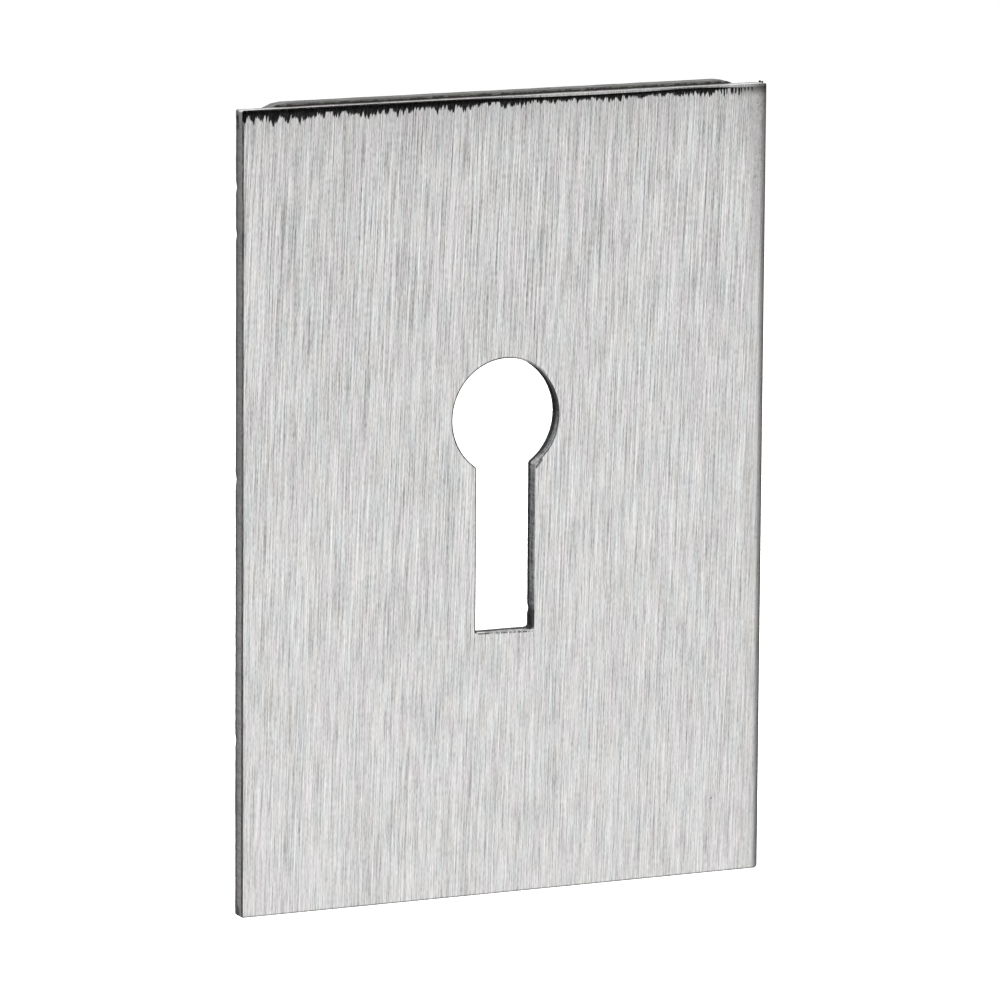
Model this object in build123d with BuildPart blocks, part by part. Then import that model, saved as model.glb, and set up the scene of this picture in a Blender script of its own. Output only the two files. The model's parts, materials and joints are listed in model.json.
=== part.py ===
from build123d import *
import os

# Keyhole escutcheon: a stainless plate with a punched keyhole, on an adhesive foam pad.
# The origin is the centre of the keyhole's round part, on the plate's back face.
# +X is right as seen from the front, +Z is up, and -Y points out of the front face.

# Plate, in millimetres
plate_width = 40.0
plate_height = 56.0
plate_thickness = 1.2
# Distance from the plate's bottom edge up to the centre of the keyhole's round part
keyhole_rise = 33.7
# Punching draws the front outline over into a small roll
edge_roll = 0.3

# Keyhole
key_bore_radius = 4.1
key_slot_width = 4.5
# Distance from the round part's centre down to the slot's square end
key_slot_drop = 15.1
# Rounding where the slot leaves the round part, and in the slot's two lower corners
key_shoulder_radius = 0.3
key_corner_radius = 0.2

# Adhesive pad
pad_thickness = 1.1
pad_corner_radius = 2.8
# The pad is smaller than the plate by this much on each side
pad_inset = 0.8
# The pad is stuck on off-centre, to the right and upwards, so its top edge stands above the plate
pad_shift_right = 0.185
pad_shift_up = 1.03
# The pad's cut-out clears the keyhole by this much all round
pad_cutout_clearance = 2.0

# The plate's middle height, measured from the origin
plate_middle = plate_height / 2 - keyhole_rise


def keyhole_sketch(bore_radius, slot_width, slot_drop):
    """Add a keyhole: a round part about the origin and a slot running down from it."""
    Circle(bore_radius)
    with Locations((0, -slot_drop / 2)):
        Rectangle(slot_width, slot_drop)


# The sketch planes look from the front: their X is +X, their Y is +Z and their normal is -Y
back_of_plate = Plane.XZ
back_of_pad = Plane.XZ.offset(-pad_thickness)

with BuildPart() as escutcheon_plate:
    with BuildSketch(back_of_plate):
        with Locations((0, plate_middle)):
            Rectangle(plate_width, plate_height)
    extrude(amount=plate_thickness)
    # The roll runs round the front outline and over the four upright corners
    front_edges = edges().group_by(Axis.Y)[0]
    corner_edges = edges().filter_by(Axis.Y)
    fillet(front_edges + corner_edges, radius=edge_roll)
    with BuildSketch(back_of_plate) as keyhole:
        keyhole_sketch(key_bore_radius, key_slot_width, key_slot_drop)
        slot_corners = vertices().group_by(Axis.Y)[0]
        fillet(slot_corners, radius=key_corner_radius)
        shoulders = vertices().group_by(Axis.Y)[-1]
        fillet(shoulders, radius=key_shoulder_radius)
    extrude(amount=plate_thickness, mode=Mode.SUBTRACT)

with BuildPart() as adhesive_pad:
    with BuildSketch(back_of_pad):
        with Locations((pad_shift_right, plate_middle + pad_shift_up)):
            RectangleRounded(
                plate_width - 2 * pad_inset,
                plate_height - 2 * pad_inset,
                pad_corner_radius,
            )
        with BuildSketch(mode=Mode.PRIVATE) as cutout:
            keyhole_sketch(key_bore_radius, key_slot_width, key_slot_drop)
            offset(amount=pad_cutout_clearance, kind=Kind.ARC)
        with Locations((pad_shift_right, pad_shift_up)):
            add(cutout.sketch, mode=Mode.SUBTRACT)
    extrude(amount=pad_thickness)

os.makedirs("parts", exist_ok=True)
escutcheon_plate.part.label = "escutcheon_plate"
adhesive_pad.part.label = "adhesive_pad"
export_step(escutcheon_plate.part, "parts/escutcheon_plate.step")
export_step(adhesive_pad.part, "parts/adhesive_pad.step")
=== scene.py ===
import json
import math
from itertools import pairwise
import bmesh
import bpy
from mathutils import Matrix, Vector, noise


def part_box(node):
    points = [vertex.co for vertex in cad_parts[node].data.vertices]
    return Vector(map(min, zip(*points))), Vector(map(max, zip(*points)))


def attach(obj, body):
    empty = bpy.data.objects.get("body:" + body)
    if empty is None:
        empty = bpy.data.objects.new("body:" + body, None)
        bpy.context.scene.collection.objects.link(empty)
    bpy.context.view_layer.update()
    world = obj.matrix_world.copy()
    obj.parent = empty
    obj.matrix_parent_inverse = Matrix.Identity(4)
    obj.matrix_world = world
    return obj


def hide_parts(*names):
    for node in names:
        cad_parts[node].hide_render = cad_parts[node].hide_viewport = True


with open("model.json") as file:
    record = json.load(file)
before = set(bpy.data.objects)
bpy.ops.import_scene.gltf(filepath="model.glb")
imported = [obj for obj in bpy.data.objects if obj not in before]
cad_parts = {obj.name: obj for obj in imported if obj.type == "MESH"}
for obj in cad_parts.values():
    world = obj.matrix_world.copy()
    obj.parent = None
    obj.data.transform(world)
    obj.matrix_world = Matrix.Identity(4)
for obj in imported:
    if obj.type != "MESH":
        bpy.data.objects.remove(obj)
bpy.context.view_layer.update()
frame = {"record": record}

# Shapes are worked out in millimetres and written into the meshes in metres
MM = 0.001

# The plate's and the pad's places, read from the frame
plate_low, plate_high = (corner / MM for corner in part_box("escutcheon_plate"))
pad_low, pad_high = (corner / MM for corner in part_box("adhesive_pad"))
plate_front = plate_low.y
plate_back = plate_high.y
plate_thickness = plate_back - plate_front
pad_back = pad_high.y

# Outlines: the space between points, and the steps round a corner or a shoulder and round a slot's corner
outline_step = 0.09
hole_step = 0.09
pad_step = 0.22
corner_steps = 6
slot_corner_steps = 5
# The smallest radius that a corner and a shoulder keep when their outline is moved
least_corner = 0.06
least_shoulder = 0.01
# A flat face is cut in two at the highest and the lowest of this many points nearest to its middle
cut_points = 6
# A wall whose normal points this far to one side belongs to the left or the right side
sideways = 0.9

# The plate's outline and the front edge that punching rolled over, wide at the top and the right.
# The roll starts with a crease, at this part of its quarter turn in degrees.
# Corner radii: bottom right, top right, top left, bottom left
corner_radii = (0.26, 0.14, 0.14, 0.16)
roll_width = {"left": 0.12, "right": 0.42, "bottom": 0.11, "top": 0.30}
roll_depth = {"left": 0.11, "right": 0.08, "bottom": 0.07, "top": 0.12}
roll_ragged = {"left": 0.012, "right": 0.02, "bottom": 0.008, "top": 0.055}
roll_start = 16
roll_steps = 8
roll_support = 0.06
# Roughness is a level and waves, each with a share, a pitch, a seed and the seed's step with the depth
roll_waves = (0, ((1.0, 0.35, 3.7, 0), (0.6, 0.12, 8.1, 0)))
# The top roll narrows to a part of its width between two places, and dies away near the right corner
roll_narrows = (-8.0, 4.0, 0.6)
roll_fade = (16.3, 17.5, 0.08)
# Above the top roll a narrow strip faces forwards again: places along the plate and its width there
lip_widths = (
    (-6.0, 0.04), (-0.6, 0.09), (3.1, 0.15), (6.8, 0.165), (10.4, 0.145), (13.3, 0.09), (14.7, 0.09),
    (16.1, 0.12), (17.0, 0.15), (18.0, 0.19),
)
# The wall below the roll: the punch burnished its front part and tore the rest
burnished_depth = 0.42
torn_ragged = 0.035
torn_waves = (0.45, ((0.5, 2.6, 11, 1), (0.35, 0.5, 17, 2), (0.25, 0.15, 21, 5)))
back_round = 0.015
# Its rings: two that lead down out of the roll, and then the depths of the others
wall_leads = (0.01, 0.03)
wall_depths = (0.3, 0.42, 0.5, 0.6, 0.7, 0.8, 0.9, 1.0, 1.08)
# The flat face's rings and the back's, as distances from the outline, and how much rounder the face's are
face_insets = (2.2, 1.3)
face_rounder = 0.8
back_inset = 1.3
# Nicks in the back edge of the left wall, as heights on the plate
nicks = (16.95, 13.67, -3.2, -21.4)
nick_depth = 0.07
nick_length = 0.5

# The keyhole, about the origin
bore_mount = next(m for m in frame["record"]["mounts"] if m["name"] == "keyhole")
bore_radius = bore_mount["dims"]["r_mm"]
slot_half_width = 2.25
slot_drop = 15.1
shoulder_radius = 0.3
slot_corner_radius = 0.2
# The keyhole's front edge is broken most at its left, and softly towards its upper right. At the slot's
# end it is whole: the break dies away between two heights of the wall's normal
hole_break = 0.01
hole_break_left = 0.12
hole_break_upper_right = 0.15
hole_break_towards = (0.64, 0.77)
hole_break_end = (-0.98, -0.4)
hole_break_steps = 4
hole_break_bend = 1.4
# How steep it is, and how steep on the right side and along the middle of the slot's left side, between
# these heights
hole_break_slope = 0.56
hole_break_slope_slot = 0.36
hole_break_slot = (-13.6, -11.5, -5.0, -3.6)
hole_soft_right = (0.3, 0.6)
# Its rings, as distances from the keyhole and as depths in its wall
hole_face = 0.45
hole_back = 0.28
hole_support = 0.02
hole_lead = 0.015
hole_depths = (0.25, 0.42, 0.6, 0.8, 1.0, 1.15)
hole_waves = (0.5, ((0.35, 0.5, 31, 2), (0.4, 0.14, 41, 5)))
# A nick in the back edge of the slot's right wall: height, depth and half length
hole_nick = (-13.83, 0.09, 0.34)

# A small burr on the back of the top edge, near the right corner, and its lumps' share and pitch
burr_places = ((19.88, -0.36), (19.90, -0.68))
burr_radius = 0.085
burr_rise = 0.03
burr_lumps = (0.06, 0.08)

# The pad's outline, its cut-out and its die-cut edges
pad_corner_radii = (2.8, 2.5, 2.8, 2.8)
pad_cutout_clearance = 2.0
pad_cutout_steps = {"round": 120, "side": 44, "corner": 14, "end": 18}
pad_edge_round = 0.02
pad_hollow = 0.03
pad_uneven = 0.012
pad_uneven_pitch = 1.1
pad_film = 0.09
pad_flat_insets = (1.2, 0.6)
pad_profile_steps = 14

# The camera stands in front of the plate, to its left and a little above
camera_azimuth = 25.769
camera_elevation = 9.924
camera_roll = 0.401
camera_distance = 576.652
camera_target = Vector((-0.456, plate_front, -5.805))
camera_lens = 299.527
camera_sensor = 36.0

# The grain's layers: lines in a millimetre across and along, weights at the plate's foot and top, seed
grain_layers = (
    (14.0, 3.0, 0.21, 0.28, 3.1),
    (13.5, 0.9, 0.20, 0.15, 17.7),
    (13.0, 0.38, 0.29, 0.33, 29.3),
    (12.5, 0.18, 0.18, 0.31, 35.1),
    (12.0, 0.05, 0.19, 0.40, 41.9),
    (1.3, 0.05, 0.04, 0.06, 57.3),
)
grain_lean = 0.0385
grain_bend = 0.00015
# The grain's middle grey at the plate's foot and at its top; the foot is a little lighter, as painted light
grain_level_and_painted_light = (0.52, 0.50)
grain_tones = [(0.2, 0.16), (0.5, 0.62), (0.8, 0.99)]
scratch_depth = 0.003
cool_tint = (0.985, 1.0, 1.004)
warm_tint = (1.016, 1.0, 0.98)
red_tint = (1.018, 0.985, 1.0)
steel_roughness = 0.28
# The haze at the right edge, which fades from the top down
haze_reach = (0.9, 0.2)
haze_ragged = 1.2
haze_down = (14.0, 4.0, 0.35, 1.0)
haze_hides = 0.8
haze_mottle = (0.32, -0.20)
haze_specks = (0.62, 0.72, 0.0, 0.1)
haze_warms = 0.2
haze_roughens = 0.08
# Painted shade: the face is painted darker near its top edge, as shares of the first number
top_edge_width = 6.0
top_edge = [(0, 0.82), (0.17, 0.88), (0.42, 0.94), (0.85, 1)]
# Painted dark reflection: how dark it is towards its right edge, as shares of the first number, below and
# above the two heights
right_edge_width = 0.8
right_edge_heights = (9.0, 19.0)
right_edge_low = [
    (0, 0.2), (0.1, 0.23), (0.21, 0.31), (0.32, 0.43), (0.42, 0.61), (0.53, 0.85), (0.64, 0.93), (0.75, 1),
]
right_edge_high = [
    (0, 0.28), (0.1, 0.34), (0.2, 0.4), (0.3, 0.5), (0.42, 0.66), (0.55, 0.81), (0.72, 0.92), (1, 1),
]
# Painted shade: the dark foot, the dark strip under the lip's right end, and the dark corner there
foot_edge = (0.07, 0.14, 0.5, 1.0)
strip_along = (16.9, 18.0)
strip_down = (0.85, 0.3)
strip_start = (-0.02, 0.04)
strip_dim = 0.58
corner_lean = 0.6
corner_reach = (1.3, 0.3)
corner_dim = 0.4
# Depths where the face gives way to the wall, and where the punch smoothed the roll
front_depths = (0.2, 0.3)
smooth_depths = (0.004, 0.03)
smooth_roll = 0.12
# Painted dark reflection along the left edge, which the shear cut straight
left_edge_reach = (0.3, 0.2)
left_edge_down = (-2.0, -20.0, 0.6, 0.78)
left_edge_reflection_tone = 0.08
# A painted dark reflection at the rim of the keyhole's round part, with its gap at the lower right
rim_reach = (0.13, 0.08)
rim_strength = 0.6
rim_gap_across = (1.0, 1.6)
rim_gap_up = (3.0, 2.5)
rim_ends = (-3.6, -3.4)
rim_reflection_tone = 0.1
# Dark marks on the face: from, to and half width
face_marks = (
    ((2.72, -3.18), (2.33, -3.67), 0.14),
    ((16.28, -28.30), (16.26, -28.37), 0.05),
)
# Painted shade of a row of small dents under the slot's end, and how noise breaks up the marks and the
# dents' painted shade
dent_shade_row = ((-2.0, -15.13), (2.1, -15.25), 0.09)
mark_breaks = (0.15, 0.35)
dent_shade_breaks = (0.42, 0.54)
mark_strength = 0.85
mark_tone = 0.04
# Under the top edge the face turns over in fingers: how steeply, over what length the turn starts, the
# shortest and longest, and where they get shorter and then a little longer again to the right
finger_slope = 0.38
finger_start = 0.22
finger_noise = (0.5, 0.95)
finger_reach = (0.4, 1.25)
finger_least = 0.03
finger_wander = 0.4
finger_knots = 0.14
finger_narrows = (-14.0, 4.0, 1.0, 0.68)
finger_longer = (-2.0, 3.0, 0.055)
# To the right of the first place there are only single dashes: place, half width and share of the length
finger_end = (16.2, 16.3)
finger_dashes = (
    (16.42, 0.12, 1.08), (16.66, 0.09, 1.05), (16.87, 0.08, 1.05), (17.28, 0.17, 1.12), (17.57, 0.09, 1.0),
    (17.83, 0.10, 1.15), (18.02, 0.06, 0.85), (18.28, 0.07, 0.75), (18.55, 0.08, 0.8), (18.84, 0.07, 0.7),
)
# How much the lip's lower border wavers, and how sharp it is
lip_waver = 0.2
lip_border = 0.015

# The sheared walls. Their rows are heights on the plate, how deep the tear starts, and how much light and
# shade is painted on them there
outer_wall_look = {
    "rows": (
        (-33.7, 0.35, 0.8), (-33.2, 0.4, 0.9), (-32.7, 0.85, 1.0), (-20.0, 0.9, 1.0), (-5.0, 0.9, 0.85),
        (10.0, 0.85, 0.8), (22.1, 0.8, 0.75), (22.18, 0.8, 0.3), (22.28, 0.85, 0.3), (22.3, 0.9, 1.3),
    ),
    "burnished_tones": (0.36, 0.66),
    "torn_tones": (0.14, 0.34),
    "tint": (1.05, 0.96, 0.97),
    "lines_weight": 0.9,
}
# The keyhole's tear is painted near black, far darker than the outer walls' tear: painted shade inside the
# keyhole
keyhole_wall_look = {
    "rows": (
        (-15.1, 0.48, 0.8), (-15.0, 0.4, 0.1), (-13.9, 0.7, 0.13), (-13.3, 0.9, 0.6), (-3.7, 0.86, 0.68),
        (-2.6, 0.7, 0.36), (-0.3, 0.66, 0.26), (0.8, 0.62, 0.32), (2.4, 0.6, 0.8), (4.1, 0.7, 0.9),
    ),
    "burnished_tones": (0.16, 0.85),
    "torn_tones": (0.005, 0.06),
    "tint": (0.95, 1.0, 1.04),
    "lines_weight": 1.7,
    "end_tear": 0.3,
}
# The tear's border, and the place of the earlier tear at the slot's end
tear_strays = 0.45
tear_soft = 0.06
end_tear_across = (0.2, 2.1)
end_tear_down = (-14.85, -15.0)
# Painted light and shade: the burnished part darkens with the depth, less steeply higher up
fall_depths = (0.1, 1.1)
fall_front = (-12.0, -2.0, 1.5, 1.2)
fall_back = 0.7
wall_bump = 0.02
wall_roughness = (0.4, 0.6)
# Dark spots in the tear near the upper left corner
spot_height = 21.45
spot_half = (0.55, 0.4)
spot_depths = (0.55, 0.75)
spot_side = (-19.5, -19.7)
spot_strength = 0.9
spot_tone = 0.015

# The foam, its two films, and a painted shadow along the plate's top edge
foam_tones = [(0.38, (0.13, 0.13, 0.127)), (0.62, (0.25, 0.25, 0.245))]
foam_bump = 0.05
foam_roughness = (0.85, 0.55)
film_tone = (0.14, 0.137, 0.13)
film_strength = 0.6
film_soft = 0.02
contact_shadow_tone = (0.028, 0.025, 0.024)
contact_shadow_strength = 0.9
contact_shadow_rise = 0.16
contact_shadow_border = (-0.02, 0.03)
contact_shadow_behind = (0.12, 0.03)

# The studio's brightness by height, from straight down at 0 to straight up at 1
sky_front = [(0, 1.0), (0.35, 1.16), (0.44, 1.12), (0.49, 0.95), (0.53, 0.35), (0.565, 0.03), (1, 0.0)]
sky_back = [
    (0, 0.12), (0.35, 0.19), (0.44, 0.38), (0.5, 0.85), (0.56, 1.2), (0.84, 1.2), (0.92, 0.2), (1, 0.0),
]
sky_side = [(0, 0.2), (0.45, 0.1), (0.55, 0.06), (0.7, 0.02), (1, 0.0)]
# Where the side turns into the front and the back
sky_turn = (0.4, 0.7)

# Soft lamps: name, place in metres and power in watts, and their size in metres
lamps = (
    ("key_light", (-0.35, -0.5, 0.35), 3.6),
    ("fill_light", (0.5, -0.3, 0.2), 1.8),
    ("back_light", (0.1, 0.5, 0.4), 3.6),
)
lamp_size = 0.4

floor_drop = 60.0
floor_size = 8000.0
floor_tone = 0.8
floor_glow = 0.8


def arc(centre, radius, start, end, steps):
    """Points on an arc about a centre, from one angle to another in degrees, both ends included."""
    angles = [math.radians(start + (end - start) * i / steps) for i in range(steps + 1)]
    return [Vector((centre[0] + radius * math.cos(a), centre[1] + radius * math.sin(a))) for a in angles]


def between(start, end, steps):
    """Points that divide a straight run, without its ends."""
    return [start.lerp(end, i / steps) for i in range(1, steps)]


def rectangle_ring(low, high, radii, insets, step):
    """A closed ring round a rectangle with round corners.

    insets say how far it is drawn in at the left, right and bottom, and at the top's left and right ends.
    The rings of one rectangle have the same number of points, whatever their insets.
    """
    across = round((high.x - low.x) / step)
    up = round((high.z - low.z) / step)
    left, right, bottom, top_left, top_right = insets
    sides = [(right, bottom), (right, top_right), (left, top_left), (left, bottom)]
    arcs = []
    for i, (radius, (side, end)) in enumerate(zip(radii, sides)):
        rx = max(radius - side, least_corner)
        rz = max(radius - end, least_corner)
        x = high.x - right - rx if i < 2 else low.x + left + rx
        z = high.z - end - rz if i in (1, 2) else low.z + end + rz
        turn = arc((0, 0), 1, 90 * i - 90, 90 * i, corner_steps)
        arcs.append([Vector((x + rx * p.x, z + rz * p.y)) for p in turn])
    ring = []
    for i, corner in enumerate(arcs):
        ring += corner + between(corner[-1], arcs[(i + 1) % 4][0], (up, across)[i % 2])
    return ring


def keyhole_ring(grow, step):
    """A closed ring round the keyhole, with all its walls moved outwards by grow."""
    shoulder_x = slot_half_width + shoulder_radius
    shoulder_z = -math.sqrt((bore_radius + shoulder_radius) ** 2 - shoulder_x**2)
    shoulder_turn = math.degrees(math.atan2(shoulder_z, shoulder_x))
    corner_x = slot_half_width - slot_corner_radius
    corner_z = slot_corner_radius - slot_drop
    round_steps = round(bore_radius * math.radians(180 - 2 * shoulder_turn) / step)
    side_steps = round((shoulder_z - corner_z) / step)
    end_steps = round(2 * corner_x / step)
    shoulder = max(shoulder_radius - grow, least_shoulder)
    corner = slot_corner_radius + grow
    ring = arc((0, 0), bore_radius + grow, shoulder_turn, 180 - shoulder_turn, round_steps)
    ring += arc((-shoulder_x, shoulder_z), shoulder, -shoulder_turn, 0, corner_steps)[1:]
    left = arc((-corner_x, corner_z), corner, 180, 270, slot_corner_steps)
    ring += between(ring[-1], left[0], side_steps) + left
    right = arc((corner_x, corner_z), corner, 270, 360, slot_corner_steps)
    ring += between(left[-1], right[0], end_steps) + right
    last = arc((shoulder_x, shoulder_z), shoulder, 180, 180 + shoulder_turn, corner_steps)
    ring += between(right[-1], last[0], side_steps) + last[:-1]
    return ring


def wave(point, pitch, seed):
    """Smooth noise from -1 to 1 along an outline, with lumps about pitch long."""
    return noise.noise(Vector((point.x / pitch, point.y / pitch, seed)))


def roughness_at(point, waves, depth=0):
    """How rough an edge or a wall is at a point of its outline and a depth."""
    rough, layers = waves
    for share, pitch, seed, seed_step in layers:
        rough += share * wave(point, pitch, seed + depth * seed_step)
    return rough


def outwards(ring):
    """The outline's normals at a ring's points, away from what the ring goes round."""
    normals = []
    for i, point in enumerate(ring):
        along = ring[(i + 1) % len(ring)] - ring[i - 1]
        normals.append(Vector((along.y, -along.x)).normalized())
    return normals


def by_side(values, normal):
    """A value for a point of the plate's outline, mixed from the sides' values by the outline's normal."""
    across = values["right"] if normal.x > 0 else values["left"]
    along = values["top"] if normal.y > 0 else values["bottom"]
    return across * normal.x**2 + along * normal.y**2


def ramp_between(value, start, end):
    """0 before start and 1 after end, with a straight rise between them."""
    return min(max((value - start) / (end - start), 0), 1)


def top_roll_at(x):
    """How much of the top roll is left at a place along the plate."""
    narrow = 1 - (1 - roll_narrows[2]) * ramp_between(x, *roll_narrows[:2])
    return narrow * (1 - (1 - roll_fade[2]) * ramp_between(x, *roll_fade[:2]))


def lip_at(x):
    """The width of the strip above the top roll at a place along the plate."""
    width = lip_widths[0][1]
    for (start, low), (end, high) in pairwise(lip_widths):
        width += (high - low) * ramp_between(x, start, end)
    return width


def top_inset_at(x, share):
    """How far a ring of the roll is drawn in from the top edge at a place along the plate."""
    return roll_width["top"] * share * top_roll_at(x) + lip_at(x)


def roll_ring(step, normals):
    """One ring of the rolled edge, from the flat face before step 0 to the wall at the last step."""
    start = math.radians(roll_start)
    turn = math.radians(roll_start + (90 - roll_start) * max(step, 0) / roll_steps)
    share = (1 - math.sin(turn)) / (1 - math.sin(start))
    sink = (math.cos(start) - math.cos(turn)) / math.cos(start)
    support = roll_support if step < 0 else 0
    # The left edge is cut straight across, where the others are round
    cut = max(step, 0) / roll_steps
    shares = {"left": 1 - cut, "right": share, "bottom": share, "top": share}
    sinks = {"left": cut, "right": sink, "bottom": sink, "top": sink}
    insets = [roll_width[side] * shares[side] + support for side in ("left", "right", "bottom")]
    insets += [top_inset_at(x, share) + support for x in (plate_low.x, plate_high.x)]
    base = rectangle_ring(plate_low, plate_high, corner_radii, insets, outline_step)
    depths = {side: roll_depth[side] * sinks[side] for side in roll_depth}
    ring = []
    for p, n in zip(base, normals):
        kept = 1 - max(n.y, 0) * (1 - top_roll_at(p.x))
        if n.y > 0.999:
            p.y = plate_high.z - top_inset_at(p.x, share) - support
        ragged = by_side(roll_ragged, n) * roughness_at(p, roll_waves)
        ragged *= kept * by_side(shares, n) * (1 - 4 * n.x**2 * n.y**2)
        ring.append((p - n * ragged, plate_front + by_side(depths, n) * kept))
    return ring


def torn_at(depth):
    """How far a depth is into the torn part of a wall, from 0 to 1 at the plate's back."""
    return max(0.0, depth - burnished_depth) / (plate_thickness - burnished_depth)


def plate_rings():
    """Rings over the plate's rolled front edge, down its sheared wall and round its back edge."""
    rings = []
    for inset in face_insets:
        ring = rectangle_ring(plate_low, plate_high, [inset + face_rounder] * 4, [inset] * 5, outline_step)
        rings.append([(p, plate_front) for p in ring])
    wall = rectangle_ring(plate_low, plate_high, corner_radii, [0] * 5, outline_step)
    normals = outwards(wall)
    rings += [roll_ring(step, normals) for step in range(-1, roll_steps + 1)]
    for lead in wall_leads:
        rings.append([(w, y + lead) for w, (p, y) in zip(wall, rings[-1])])
    for depth in (*wall_depths, plate_thickness):
        torn = torn_at(depth)
        last = depth == plate_thickness
        ring = []
        for w, n in zip(wall, normals):
            draw = torn_ragged * torn * max(roughness_at(w, torn_waves, depth), 0) + back_round * last
            if n.x < -sideways:
                notch = max(1 - min(abs(w.y - nick) for nick in nicks) / nick_length, 0)
                draw += nick_depth * notch * torn
            ring.append((w - n * draw, plate_front + depth))
        rings.append(ring)
    ring = rectangle_ring(plate_low, plate_high, corner_radii, [back_inset] * 5, outline_step)
    rings.append([(p, plate_back) for p in ring])
    return rings


def hole_break_at(point, normal):
    """How wide the keyhole's broken front edge is at a point of its wall."""
    across, up = hole_break_towards
    upper_right = max((point.x * across + point.y * up) / bore_radius, 0) ** 3
    left = math.sqrt(max(1 - normal.x, 0) / 2) * ramp_between(normal.y, *hole_break_end)
    return hole_break + hole_break_left * left + hole_break_upper_right * upper_right


def hole_slope_at(point, normal):
    """How steep the keyhole's broken edge is at a point of its wall."""
    low, low_end, high_start, high = hole_break_slot
    slot = ramp_between(point.y, low, low_end) * ramp_between(point.y, high, high_start)
    soft = max(slot * (normal.x < -sideways), ramp_between(normal.x, *hole_soft_right))
    return hole_break_slope + (hole_break_slope_slot - hole_break_slope) * soft


def hole_rings():
    """Rings from the plate's face over the keyhole's front edge and through to its back edge."""
    wall = keyhole_ring(0, hole_step)
    normals = outwards(wall)
    sizes = [hole_break_at(w, n) for w, n in zip(wall, normals)]
    sinks = [hole_slope_at(w, n) * size for w, n, size in zip(wall, normals, sizes)]
    rings = [[(p, plate_front) for p in keyhole_ring(hole_face, hole_step)]]
    rings.append([(w + n * (size + hole_support), plate_front) for w, n, size in zip(wall, normals, sizes)])
    for step in range(hole_break_steps + 1):
        share = step / hole_break_steps
        ring = []
        for w, n, size, sink in zip(wall, normals, sizes, sinks):
            ring.append((w + n * size * (1 - share), plate_front + sink * share**hole_break_bend))
        rings.append(ring)
    rings.append([(w, plate_front + sink + hole_lead) for w, sink in zip(wall, sinks)])
    nick_height, nick_reach, nick_half = hole_nick
    for depth in (*hole_depths, plate_thickness):
        ring = []
        for w, n in zip(wall, normals):
            draw = torn_ragged * max(roughness_at(w, hole_waves, depth), 0)
            if n.x > sideways:
                draw += nick_reach * max(1 - abs(w.y - nick_height) / nick_half, 0)
            ring.append((w + n * draw * torn_at(depth), plate_front + depth))
        rings.append(ring)
    rings.append([(p, plate_back) for p in keyhole_ring(hole_back, hole_step)])
    return rings


def skin(bm, rings, slots, sharp=()):
    """Faces between neighbouring rings. Returns the vertices of the first and the last ring.

    slots gives the material of each band, and the rings whose numbers are in sharp are creases.
    """
    rows = [[bm.verts.new(Vector((p.x, y, p.y)) * MM) for p, y in ring] for ring in rings]
    for (upper, lower), slot in zip(pairwise(rows), slots):
        for i in range(len(upper)):
            face = bm.faces.new((upper[i - 1], upper[i], lower[i], lower[i - 1]))
            face.material_index = slot
            face.smooth = True
    for number in sharp:
        for i, vert in enumerate(rows[number]):
            bm.edges.get((rows[number][i - 1], vert)).smooth = False
    return rows[0], rows[-1]


def cap(bm, outer, inner, slot):
    """Two flat faces that fill the space between an outer ring of vertices and the keyhole's ring."""
    across = (inner[0].co.x + inner[len(inner) // 2].co.x) / 2
    cuts = []
    for ring in (outer, inner):
        middle = sorted(range(len(ring)), key=lambda i: abs(ring[i].co.x - across))[:cut_points]
        cuts.append((max(middle, key=lambda i: ring[i].co.z), min(middle, key=lambda i: ring[i].co.z)))
    (outer_top, outer_low), (inner_top, inner_low) = cuts
    left = loop_part(outer, outer_top, outer_low) + loop_part(inner, inner_top, inner_low)[::-1]
    right = loop_part(outer, outer_low, outer_top) + loop_part(inner, inner_low, inner_top)[::-1]
    for corners in (left, right):
        face = bm.faces.new(corners)
        face.material_index = slot
        face.smooth = True


def loop_part(ring, start, end):
    """The part of a closed ring from one place to another, both ends included."""
    return ring[start:end + 1] if start <= end else ring[start:] + ring[:end + 1]


def new_object(name, data):
    """An object in the scene."""
    made = bpy.data.objects.new(name, data)
    bpy.context.scene.collection.objects.link(made)
    return made


def finish_mesh(bm, name, materials):
    """Turn a bmesh into an object that rides with the part."""
    bmesh.ops.recalc_face_normals(bm, faces=bm.faces)
    mesh = bpy.data.meshes.new(name)
    bm.to_mesh(mesh)
    bm.free()
    for material in materials:
        mesh.materials.append(material)
    piece = new_object(name, mesh)
    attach(piece, "root")
    return piece


def burr(bm, slot):
    """Two crumbs of torn metal that stand on the top edge beside each other."""
    lump_share, lump_pitch = burr_lumps
    for x, y in burr_places:
        place = Matrix.Translation(Vector((x, y, plate_high.z + burr_rise)) * MM)
        made = bmesh.ops.create_icosphere(bm, subdivisions=3, radius=burr_radius * MM, matrix=place)
        for vert in made["verts"]:
            offset = vert.co - place.translation
            lump = noise.noise(vert.co / (lump_pitch * MM))
            vert.co = place.translation + offset * (1 + lump_share * lump)
            for face in vert.link_faces:
                face.material_index = slot
                face.smooth = True


def build_plate(brushed, outer_walls, hole_walls):
    """The punched plate, which stands for its node with a rolled edge and torn walls."""
    bm = bmesh.new()
    rings = plate_rings()
    face_bands = len(face_insets) + roll_steps + 2
    wall_bands = len(rings) - face_bands - 2
    creases = (face_bands - 1, face_bands, len(rings) - 2)
    outer = skin(bm, rings, [0] * face_bands + [1] * wall_bands + [0], creases)
    holes = hole_rings()
    face_bands = hole_break_steps + 2
    wall_bands = len(holes) - face_bands - 2
    inner = skin(bm, holes, [0] * face_bands + [2] * wall_bands + [0], (face_bands, len(holes) - 2))
    cap(bm, outer[0], inner[0], 0)
    cap(bm, outer[1], inner[1], 0)
    burr(bm, 2)
    piece = finish_mesh(bm, "punched_plate", [brushed, outer_walls, hole_walls])
    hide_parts("escutcheon_plate")


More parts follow.
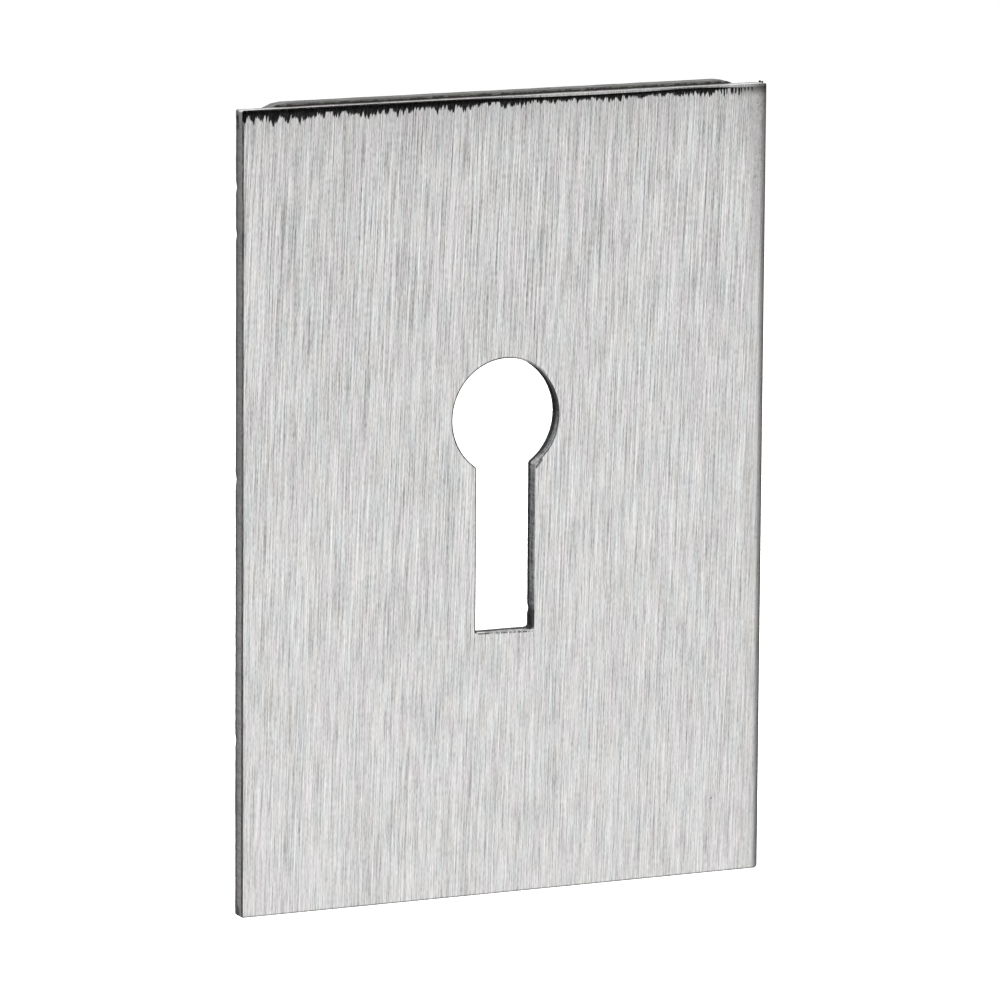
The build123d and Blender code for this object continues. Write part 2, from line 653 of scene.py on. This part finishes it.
def pad_keyhole_ring(grow):
    """The pad's cut-out, which follows the keyhole at a distance and moves with the pad."""
    middle_x = (pad_low.x + pad_high.x) / 2
    rise = (pad_low.z + pad_high.z) / 2 - (plate_low.z + plate_high.z) / 2
    corner = pad_cutout_clearance
    radius = bore_radius + corner
    side = slot_half_width + corner
    bottom = -slot_drop - corner
    steps = pad_cutout_steps
    turn = math.degrees(math.atan2(-math.sqrt(radius**2 - side**2), side))
    ring = arc((0, 0), radius + grow, turn, 180 - turn, steps["round"])
    left = arc((-side + corner, bottom + corner), corner + grow, 180, 270, steps["corner"])
    right = arc((side - corner, bottom + corner), corner + grow, 270, 360, steps["corner"])
    ring += between(ring[-1], left[0], steps["side"]) + left
    ring += between(left[-1], right[0], steps["end"]) + right
    ring += between(right[-1], ring[0], steps["side"])
    return [p + Vector((middle_x, rise)) for p in ring]


def pad_profile():
    """How far the die-cut edge is drawn in at each depth: round at the films, hollow in the foam."""
    middle = pad_back / 2
    profile = [(inset, 0.0) for inset in pad_flat_insets]
    for i in range(pad_profile_steps + 1):
        y = pad_back * i / pad_profile_steps
        hollow = pad_hollow * (1 - ((y - middle) / middle) ** 4)
        profile.append((hollow + (pad_edge_round if i in (0, pad_profile_steps) else 0), y))
    profile += [(inset, pad_back) for inset in reversed(pad_flat_insets)]
    return profile


def build_pad(foam):
    """The die-cut foam pad, which stands for its node with soft, slightly uneven edges."""
    bm = bmesh.new()
    edge = rectangle_ring(pad_low, pad_high, pad_corner_radii, [0] * 5, pad_step)
    edge_normals = outwards(edge)
    hole = pad_keyhole_ring(0)
    hole_normals = outwards(hole)
    outer_rings = []
    inner_rings = []
    for inset, y in pad_profile():
        side = pad_uneven * (inset < min(pad_flat_insets))
        base = rectangle_ring(pad_low, pad_high, pad_corner_radii, [inset] * 5, pad_step)
        uneven = [side * (0.5 + wave(w, pad_uneven_pitch, 2 + y)) for w in edge]
        outer_rings.append([(p - n * u, y) for p, n, u in zip(base, edge_normals, uneven)])
        base = pad_keyhole_ring(inset)
        uneven = [side * (0.5 + wave(w, pad_uneven_pitch, 7 + y)) for w in hole]
        inner_rings.append([(p + n * u, y) for p, n, u in zip(base, hole_normals, uneven)])
    bands = [0] * (len(outer_rings) - 1)
    outer = skin(bm, outer_rings, bands)
    inner = skin(bm, inner_rings, bands)
    cap(bm, outer[0], inner[0], 0)
    cap(bm, outer[1], inner[1], 0)
    piece = finish_mesh(bm, "foam_pad", [foam])
    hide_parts("adhesive_pad")


class Nodes:
    """Adds shader nodes to one material or world and links them."""

    def __init__(self, owner):
        owner.use_nodes = True
        self.tree = owner.node_tree
        self.tree.nodes.clear()

    def add(self, kind, inputs=None, **settings):
        """A new node; inputs are numbers, colours or other nodes' sockets, by name or number."""
        node = self.tree.nodes.new(kind)
        for name, value in settings.items():
            setattr(node, name, value)
        for name, value in (inputs or {}).items():
            socket = node.inputs[name]
            if isinstance(value, bpy.types.NodeSocket):
                self.tree.links.new(value, socket)
            else:
                socket.default_value = value
        return node

    def maths(self, operation, *values):
        """The result of one Math node."""
        return self.add("ShaderNodeMath", dict(enumerate(values)), operation=operation).outputs[0]

    def minus(self, first, second):
        """The first value without the second."""
        return self.maths("SUBTRACT", first, second)

    def line(self, value, slope, level):
        """A value times a slope, plus a level."""
        return self.maths("MULTIPLY_ADD", value, slope, level)

    def product(self, first, *others):
        """Several values multiplied together."""
        for other in others:
            first = self.maths("MULTIPLY", first, other)
        return first

    def noise(self, place, stretch, seed=0.0, detail=2.0, roughness=0.5):
        """Noise from 0 to 1; stretch is the number of lumps in a millimetre along X, Y and Z."""
        scaled = self.add(
            "ShaderNodeVectorMath",
            {0: place, 1: [s / MM for s in stretch], 2: (seed, seed, seed)},
            operation="MULTIPLY_ADD",
        )
        inputs = {"Vector": scaled.outputs[0], "Scale": 1.0, "Detail": detail, "Roughness": roughness}
        return self.add("ShaderNodeTexNoise", inputs).outputs["Fac"]

    def spread(self, value, low, high, to_low=0.0, to_high=1.0, smooth=False):
        """Moves a value from one range to another and stops at its ends."""
        kind = "SMOOTHSTEP" if smooth else "LINEAR"
        names = ("Value", "From Min", "From Max", "To Min", "To Max")
        inputs = dict(zip(names, (value, low, high, to_low, to_high)))
        return self.add("ShaderNodeMapRange", inputs, interpolation_type=kind, clamp=True).outputs[0]

    def fade(self, value, low, high, to_low=0.0, to_high=1.0):
        """The same, for a length whose range is given in millimetres."""
        return self.spread(value, low * MM, high * MM, to_low, to_high)

    def ramp(self, value, stops):
        """A colour ramp; stops are places and grey levels or colours."""
        node = self.add("ShaderNodeValToRGB", {"Fac": value})
        band = node.color_ramp
        while len(band.elements) < len(stops):
            band.elements.new(0.5)
        for element, (place, colour) in zip(band.elements, stops):
            element.position = place
            element.color = (*colour, 1) if isinstance(colour, tuple) else (colour, colour, colour, 1)
        return node.outputs["Color"]

    def profile(self, value, stops):
        """A grey ramp along a length; stops are places in millimetres and levels."""
        low, high = stops[0][0], stops[-1][0]
        share = self.fade(value, low, high)
        return self.ramp(share, [((place - low) / (high - low), level) for place, level in stops])

    def mark(self, x, z, start, end, width):
        """1 on a line between two places on the face, falling to 0 at its half width."""
        start, end = Vector(start) * MM, Vector(end) * MM
        run = end - start
        off_x = self.minus(x, start.x)
        off_z = self.minus(z, start.y)
        share = self.product(off_x, run.x / run.length_squared)
        share = self.line(off_z, run.y / run.length_squared, share)
        share = self.spread(share, 0, 1)
        off_x = self.line(share, -run.x, off_x)
        off_z = self.line(share, -run.y, off_z)
        squares = self.line(off_x, off_x, self.product(off_z, off_z))
        return self.fade(self.maths("SQRT", squares), width, 0.3 * width)

    def multiply(self, first, second):
        """Two colours multiplied."""
        node = self.add("ShaderNodeVectorMath", {0: first, 1: second}, operation="MULTIPLY")
        return node.outputs[0]

    def mix(self, factor, first, second):
        """A colour between two, each of which is a socket or three numbers."""
        node = self.add("ShaderNodeMix", {"Factor": factor}, data_type="RGBA")
        for socket, value in ((node.inputs[6], first), (node.inputs[7], second)):
            if isinstance(value, bpy.types.NodeSocket):
                self.tree.links.new(value, socket)
            else:
                socket.default_value = (*value, 1)
        return node.outputs[2]

    def surface(self, inputs):
        """Makes a principled surface the material's output."""
        shader = self.add("ShaderNodeBsdfPrincipled", inputs)
        self.add("ShaderNodeOutputMaterial", {"Surface": shader.outputs[0]})


def new_material(name):
    """A material with its nodes, the place on the piece, and that place's X, Y and Z."""
    material = bpy.data.materials.new(name)
    nodes = Nodes(material)
    place = nodes.add("ShaderNodeTexCoord").outputs["Object"]
    parts = nodes.add("ShaderNodeSeparateXYZ", {"Vector": place}).outputs
    return material, nodes, place, (parts["X"], parts["Y"], parts["Z"])


def grey(level):
    """A grey colour."""
    return (level, level, level)


def steel_grain(nodes, x, z, height):
    """The grain's coordinates, which lean to the right at the top and bend a little, and its relief."""
    lean = nodes.product(z, nodes.line(z, grain_bend / MM, grain_lean))
    upright = nodes.add("ShaderNodeCombineXYZ", {"X": nodes.minus(x, lean), "Z": z})
    along_grain = upright.outputs[0]
    grain = None
    for across, along, low_weight, high_weight, seed in grain_layers:
        layer = nodes.noise(along_grain, (across, 0, along), seed=seed, detail=0.0)
        weight = nodes.spread(height, 0, 1, low_weight, high_weight)
        layer = nodes.product(nodes.minus(layer, 0.5), weight)
        grain = layer if grain is None else nodes.maths("ADD", grain, layer)
    return along_grain, grain


def steel_tone(nodes, place, grain, height, from_right, from_top):
    """How hazy the face is, and the grey of its grain, which gives way to mottling in the haze."""
    blotch = nodes.noise(place, (1.6, 0, 1.6), seed=5.5, detail=3.0, roughness=0.6)
    blotched = nodes.line(blotch, -haze_ragged * MM, from_right)
    haze = nodes.product(nodes.fade(blotched, *haze_reach), nodes.fade(from_top, *haze_down))
    mottle = nodes.noise(place, (6, 0, 5), seed=7.5, detail=2.0, roughness=0.7)
    clear = nodes.line(haze, -haze_hides, 1.0)
    # The grain's middle grey is painted a little lighter at the foot: painted light
    shade = nodes.line(grain, clear, nodes.spread(height, 0, 1, *grain_level_and_painted_light))
    specks = nodes.spread(nodes.noise(place, (5, 0, 4), seed=1.3, detail=1.0), *haze_specks)
    hazy = nodes.minus(nodes.line(mottle, *haze_mottle), specks)
    return haze, nodes.ramp(nodes.line(haze, hazy, shade), grain_tones)


def painted_edge_shade(nodes, x, z, from_right, from_top, under_lip):
    """Painted shade on the face at its top edge, its foot and the strip and corner at the top right, and a
    painted dark reflection along its right edge.
    """
    top_dim = nodes.ramp(nodes.maths("DIVIDE", from_top, top_edge_width * MM), top_edge)
    edge_place = nodes.maths("DIVIDE", from_right, right_edge_width * MM)
    right_dim = nodes.mix(
        nodes.fade(z, *right_edge_heights),
        nodes.ramp(edge_place, right_edge_low),
        nodes.ramp(edge_place, right_edge_high),
    )
    foot_dim = nodes.fade(nodes.minus(z, plate_low.z * MM), *foot_edge)
    strip = nodes.product(
        nodes.fade(x, *strip_along), nodes.fade(from_top, *strip_down), nodes.fade(under_lip, *strip_start)
    )
    corner = nodes.fade(nodes.line(from_right, corner_lean, from_top), *corner_reach)
    return nodes.product(
        top_dim, right_dim, foot_dim,
        nodes.line(strip, -strip_dim, 1.0), nodes.line(corner, -corner_dim, 1.0),
    )


def painted_rim_reflection(nodes, x, z):
    """Where a painted dark reflection darkens the rim of the keyhole's round part, all round but for its
    lower right.
    """
    from_centre = nodes.maths("SQRT", nodes.line(x, x, nodes.product(z, z)))
    start, end = (bore_radius + reach for reach in rim_reach)
    rim = nodes.fade(from_centre, start, end, 0.0, rim_strength)
    lower_right = nodes.product(nodes.fade(x, *rim_gap_across), nodes.fade(z, *rim_gap_up))
    return nodes.product(rim, nodes.minus(1.0, lower_right), nodes.fade(z, *rim_ends))


def face_marking(nodes, place, x, z):
    """Where the face has its dark marks, and the broken row of painted shade for the dents under the slot's
    end.
    """
    marks = None
    for start, end, width in face_marks:
        mark = nodes.mark(x, z, start, end, width)
        marks = mark if marks is None else nodes.maths("MAXIMUM", marks, mark)
    broken = nodes.spread(nodes.noise(place, (6, 0, 6), seed=2.2, detail=0.0), *mark_breaks)
    gaps = nodes.noise(place, (3.2, 0, 0), seed=4.4, detail=2.0, roughness=0.7)
    # The dents are painted shade: dark flecks with no relief
    dents = nodes.product(nodes.mark(x, z, *dent_shade_row), nodes.spread(gaps, *dent_shade_breaks))
    return nodes.maths("MAXIMUM", nodes.product(marks, broken), dents)


def finger_relief(nodes, place, along_grain, x, below, on_front):
    """The face's fall near its top edge, where each line of the grain turns over at its own height.

    Near the right corner only some of them do.
    """
    fingers = nodes.noise(along_grain, (5.0, 0, 0.0), seed=12.4, detail=1.5)
    wander = nodes.noise(along_grain, (0.6, 0, 0.0), seed=14.6, detail=1.0)
    knots = nodes.noise(place, (5, 0, 3), seed=16.8, detail=1.0)
    reach = nodes.line(wander, finger_wander, fingers)
    reach = nodes.spread(reach, *finger_noise, *(length * MM for length in finger_reach))
    reach = nodes.product(reach, nodes.fade(x, *finger_narrows))
    long_from, long_to, longer = finger_longer
    reach = nodes.maths("ADD", reach, nodes.fade(x, long_from, long_to, 0.0, longer * MM))
    reach = nodes.line(nodes.minus(knots, 0.5), finger_knots * MM, reach)
    kept = nodes.fade(x, *finger_end, 1.0, 0.0)
    for middle, half, share in finger_dashes:
        aside = nodes.maths("ABSOLUTE", nodes.minus(x, middle * MM))
        kept = nodes.maths("MAXIMUM", kept, nodes.fade(aside, half, 0.5 * half, 0.0, share))
    reach = nodes.maths("MAXIMUM", nodes.product(reach, kept), finger_least * MM)
    inside = nodes.maths("MAXIMUM", nodes.minus(reach, below), 0.0)
    inside = nodes.product(inside, on_front)
    # The slope grows from nothing to its full value and then stays
    bend = nodes.maths("SQRT", nodes.line(inside, inside, (finger_start * MM) ** 2))
    return nodes.line(bend, -finger_slope, finger_slope * finger_start * MM)


def brushed_steel():
    """Stainless face with a fine upright grain, ragged towards the rolled top edge, with painted shade
    along its edges.
    """
    material, nodes, place, (x, y, z) = new_material("brushed_stainless")
    height = nodes.fade(z, plate_low.z, plate_high.z)
    from_left = nodes.minus(x, plate_low.x * MM)
    from_right = nodes.minus(plate_high.x * MM, x)
    from_top = nodes.minus(plate_high.z * MM, z)
    on_front = nodes.fade(y, *(plate_front + depth for depth in front_depths), 1.0, 0.0)
    smoothed = nodes.fade(y, *(plate_front + depth for depth in smooth_depths))
    lip = nodes.product(nodes.profile(x, lip_widths), MM)
    under_lip = nodes.minus(from_top, lip)
    along_grain, grain = steel_grain(nodes, x, z, height)
    haze, tone = steel_tone(nodes, place, grain, height, from_right, from_top)
    # Painted shade and painted dark reflections along the face's edges darken its grey
    dim = painted_edge_shade(nodes, x, z, from_right, from_top, under_lip)
    dim = nodes.maths("MAXIMUM", dim, nodes.minus(1.0, on_front))

    # Faint warm, cool and reddish patches, warmer in the haze
    warmth = nodes.noise(along_grain, (1.1, 0, 0.35), seed=8.8, detail=2.0)
    warmth = nodes.line(haze, haze_warms, warmth)
    colour = nodes.mix(nodes.spread(warmth, 0.35, 0.65), cool_tint, warm_tint)
    blush = nodes.spread(nodes.noise(along_grain, (0.9, 0, 0.3), seed=27.3, detail=2.0), 0.5, 0.68)
    colour = nodes.mix(blush, colour, red_tint)
    colour = nodes.multiply(nodes.multiply(tone, dim), colour)

    # Painted dark reflections darken the left edge and the keyhole's rim; the marks, and the dents' painted
    # shade, are darker too
    left_edge = nodes.fade(from_left, *left_edge_reach)
    left_edge = nodes.product(smoothed, left_edge, nodes.fade(z, *left_edge_down))
    colour = nodes.mix(left_edge, colour, grey(left_edge_reflection_tone))
    colour = nodes.mix(nodes.product(painted_rim_reflection(nodes, x, z), on_front), colour, grey(rim_reflection_tone))
    marks = nodes.product(face_marking(nodes, place, x, z), on_front, mark_strength)
    colour = nodes.mix(marks, colour, grey(mark_tone))

    # The strip above the roll is flat, down to a line that wavers
    below = nodes.maths("MAXIMUM", from_top, lip)
    relief = finger_relief(nodes, place, along_grain, x, below, on_front)
    waver = nodes.minus(nodes.noise(place, (9, 0, 0), seed=19.9, detail=1.0), 0.5)
    turned = nodes.line(waver, lip_waver * MM, under_lip)
    turned = nodes.fade(turned, 0.0, lip_border)
    turn_over = nodes.add("ShaderNodeBump", {"Height": relief, "Strength": turned, "Distance": 1.0})
    scratches = nodes.add(
        "ShaderNodeBump",
        {"Height": grain, "Strength": 0.3, "Distance": scratch_depth * MM, "Normal": turn_over.outputs[0]},
    )
    # The punch smoothed the rolled edge; the haze is rougher than the rest
    roughness = nodes.line(smoothed, -smooth_roll, steel_roughness)
    roughness = nodes.line(haze, haze_roughens, roughness)
    nodes.surface({
        "Base Color": colour,
        "Metallic": 1.0,
        "Roughness": roughness,
        "Anisotropic": 0.7,
        "Normal": scratches.outputs[0],
        "Tangent": nodes.add("ShaderNodeTangent", direction_type="RADIAL", axis="Z").outputs[0],
    })
    return material


def sheared_steel(name, rows, burnished_tones, torn_tones, tint, lines_weight, end_tear=0.0):
    """Punched walls: burnished near the front, torn and darker towards the back, with light and shade
    painted on by height and depth.

    At the slot's end the tear starts earlier to the right, by end_tear.
    """
    material, nodes, place, (x, y, z) = new_material(name)
    drag = nodes.noise(place, (5.0, 0.8, 5.0), detail=3.0, roughness=0.6)
    lines = nodes.noise(place, (0.7, 6.0, 0.7), seed=9.1, detail=2.0, roughness=0.6)
    tear = nodes.noise(place, (5.0, 5.0, 5.0), detail=4.0, roughness=0.7)
    starts = nodes.product(nodes.profile(z, [(height, start) for height, start, _ in rows]), MM)
    # Light and shade painted along the walls' height
    painted_light = nodes.profile(z, [(height, level) for height, _, level in rows])
    depth = nodes.minus(y, plate_front * MM)
    split = nodes.line(nodes.minus(tear, 0.5), tear_strays * MM, depth)
    past = nodes.minus(split, starts)
    if end_tear:
        wedge = nodes.fade(x, *end_tear_across, 0.0, end_tear * MM)
        past = nodes.line(wedge, nodes.fade(z, *end_tear_down), past)
    torn = nodes.fade(past, -tear_soft, tear_soft)
    worked = nodes.line(nodes.minus(lines, 0.5), lines_weight, drag)
    burnished = nodes.ramp(worked, list(zip((0.25, 0.75), burnished_tones)))
    burnished = nodes.multiply(burnished, painted_light)
    # Painted light and shade: lighter at the front, darker with the depth
    fall = nodes.fade(depth, *fall_depths, nodes.fade(z, *fall_front), fall_back)
    burnished = nodes.multiply(burnished, fall)
    patches = nodes.spread(nodes.noise(place, (0.3, 0.3, 0.3), seed=23.5, detail=2.0), 0.45, 0.65)
    burnished = nodes.multiply(burnished, nodes.mix(patches, grey(1.0), tint))
    torn_colour = nodes.ramp(tear, list(zip((0.3, 0.7), torn_tones)))
    colour = nodes.mix(torn, burnished, torn_colour)

    # Dark spots in the tear near the upper left corner
    off_spots = nodes.maths("ABSOLUTE", nodes.minus(z, spot_height * MM))
    spots = nodes.spread(nodes.noise(place, (2.5, 2.5, 2.5), seed=3.9), 0.42, 0.5)
    spots = nodes.product(
        nodes.fade(off_spots, *spot_half), nodes.fade(depth, *spot_depths), nodes.fade(x, *spot_side),
        spots, spot_strength,
    )
    colour = nodes.mix(spots, colour, grey(spot_tone))
    relief = nodes.line(drag, 0.3, nodes.product(tear, torn))
    bump = nodes.add("ShaderNodeBump", {"Height": relief, "Strength": 0.6, "Distance": wall_bump * MM})
    nodes.surface({
        "Base Color": colour,
        "Metallic": 1.0,
        "Roughness": nodes.spread(torn, 0.0, 1.0, *wall_roughness),
        "Normal": bump.outputs[0],
    })
    return material


def foam():
    """Matt grey closed-cell foam between two thin adhesive films, with a painted shadow along the plate's
    top edge.
    """
    material, nodes, place, (_, y, z) = new_material("adhesive_foam")
    cells = nodes.noise(place, (5.0, 5.0, 5.0), detail=4.0, roughness=0.65)
    mottle = nodes.noise(place, (0.6, 0.6, 0.6), detail=2.0)
    shade = nodes.line(cells, 0.6, nodes.product(mottle, 0.4))
    colour = nodes.ramp(shade, foam_tones)

    # The two films are thin, smoother and a little darker
    film = nodes.maths("ABSOLUTE", nodes.minus(y, pad_back / 2 * MM))
    film_start = pad_back / 2 - pad_film
    film = nodes.fade(film, film_start - film_soft, film_start + film_soft)
    colour = nodes.mix(nodes.product(film, film_strength), colour, film_tone)

    # A painted shadow where the pad rises above the plate's top edge, in dashes
    above = nodes.minus(z, plate_high.z * MM)
    dashes = nodes.noise(place, (2.2, 0.0, 0.0), seed=6.3, detail=3.0, roughness=0.7)
    rise = nodes.product(nodes.spread(dashes, 0.30, 0.62), contact_shadow_rise * MM)
    contact_shadow = nodes.fade(nodes.minus(rise, above), *contact_shadow_border)
    contact_shadow = nodes.product(contact_shadow, nodes.fade(y, *contact_shadow_behind), contact_shadow_strength)
    colour = nodes.mix(contact_shadow, colour, contact_shadow_tone)

    bump = nodes.add("ShaderNodeBump", {"Height": cells, "Strength": 0.5, "Distance": foam_bump * MM})
    nodes.surface({
        "Base Color": colour,
        "Roughness": nodes.spread(film, 0, 1, *foam_roughness),
        "Normal": bump.outputs[0],
    })
    return material


def studio_world():
    """A soft studio all round: bright low in front and behind, dark overhead, dim at the sides."""
    world = bpy.data.worlds.new("studio")
    nodes = Nodes(world)
    direction = nodes.add("ShaderNodeTexCoord").outputs["Generated"]
    parts = nodes.add("ShaderNodeSeparateXYZ", {"Vector": direction}).outputs
    height = nodes.spread(parts["Z"], -1.0, 1.0)
    flat = nodes.maths("SQRT", nodes.minus(1.0, nodes.product(parts["Z"], parts["Z"])))
    facing = nodes.maths("DIVIDE", parts["Y"], nodes.maths("MAXIMUM", flat, 0.001))
    front = nodes.ramp(height, sky_front)
    back = nodes.ramp(height, sky_back)
    side = nodes.ramp(height, sky_side)
    in_front = nodes.spread(facing, *(-turn for turn in sky_turn), smooth=True)
    behind = nodes.spread(facing, *sky_turn, smooth=True)
    around = nodes.mix(behind, nodes.mix(in_front, side, front), back)
    seen = nodes.add("ShaderNodeLightPath").outputs["Is Camera Ray"]
    colour = nodes.mix(seen, around, grey(1.0))
    background = nodes.add("ShaderNodeBackground", {"Color": colour, "Strength": 1.0})
    nodes.add("ShaderNodeOutputWorld", {"Surface": background.outputs[0]})
    bpy.context.scene.world = world


def pale_floor():
    """A plain pale floor under the part.

    It shows white, keeps the part's shadow and isn't mirrored in the steel.
    """
    material = bpy.data.materials.new("pale_floor")
    nodes = Nodes(material)
    seen = nodes.add("ShaderNodeLightPath").outputs["Is Camera Ray"]
    matt = nodes.add("ShaderNodeBsdfDiffuse", {"Color": (*grey(floor_tone), 1)})
    strength = nodes.product(seen, floor_glow)
    glow = nodes.add("ShaderNodeEmission", {"Color": (1, 1, 1, 1), "Strength": strength})
    both = nodes.add("ShaderNodeAddShader", {0: matt.outputs[0], 1: glow.outputs[0]})
    nodes.add("ShaderNodeOutputMaterial", {"Surface": both.outputs[0]})
    half = floor_size / 2
    z = plate_low.z - floor_drop
    mesh = bpy.data.meshes.new("floor")
    corners = [(-half, -half), (half, -half), (half, half), (-half, half)]
    mesh.from_pydata([Vector((x, y, z)) * MM for x, y in corners], [], [(0, 1, 2, 3)])
    mesh.materials.append(material)
    floor = new_object("floor", mesh)
    floor.visible_glossy = False


def soft_light(name, place, power):
    """A soft lamp that points at the part. It lights matt surfaces and isn't mirrored in the steel."""
    data = bpy.data.lights.new(name, "AREA")
    data.shape = "DISK"
    data.size = lamp_size
    data.energy = power
    light = new_object(name, data)
    light.location = place
    light.rotation_euler = (-light.location).to_track_quat("-Z", "Y").to_euler()
    light.visible_glossy = False


def camera():
    """The photograph's camera, turned a little about its own axis."""
    a, e, roll = (math.radians(v) for v in (camera_azimuth, camera_elevation, camera_roll))
    back = Vector((-math.sin(a) * math.cos(e), -math.cos(a) * math.cos(e), math.sin(e)))
    right = Vector((0, 0, 1)).cross(back).normalized()
    up = back.cross(right)
    turned_right = right * math.cos(roll) + up * math.sin(roll)
    turned_up = up * math.cos(roll) - right * math.sin(roll)
    data = bpy.data.cameras.new("camera")
    data.lens = camera_lens
    data.sensor_width = camera_sensor
    data.clip_start = 0.01
    data.clip_end = 100.0
    made = new_object("camera", data)
    turn = Matrix((turned_right, turned_up, back)).transposed().to_4x4()
    made.matrix_world = Matrix.Translation((camera_target + back * camera_distance) * MM) @ turn
    bpy.context.scene.camera = made


build_plate(
    brushed_steel(),
    sheared_steel("sheared_outer_walls", **outer_wall_look),
    sheared_steel("sheared_keyhole_walls", **keyhole_wall_look),
)
build_pad(foam())
studio_world()
pale_floor()
for lamp_name, lamp_place, lamp_power in lamps:
    soft_light(lamp_name, lamp_place, lamp_power)
camera()
bpy.context.scene.view_settings.view_transform = "Standard"
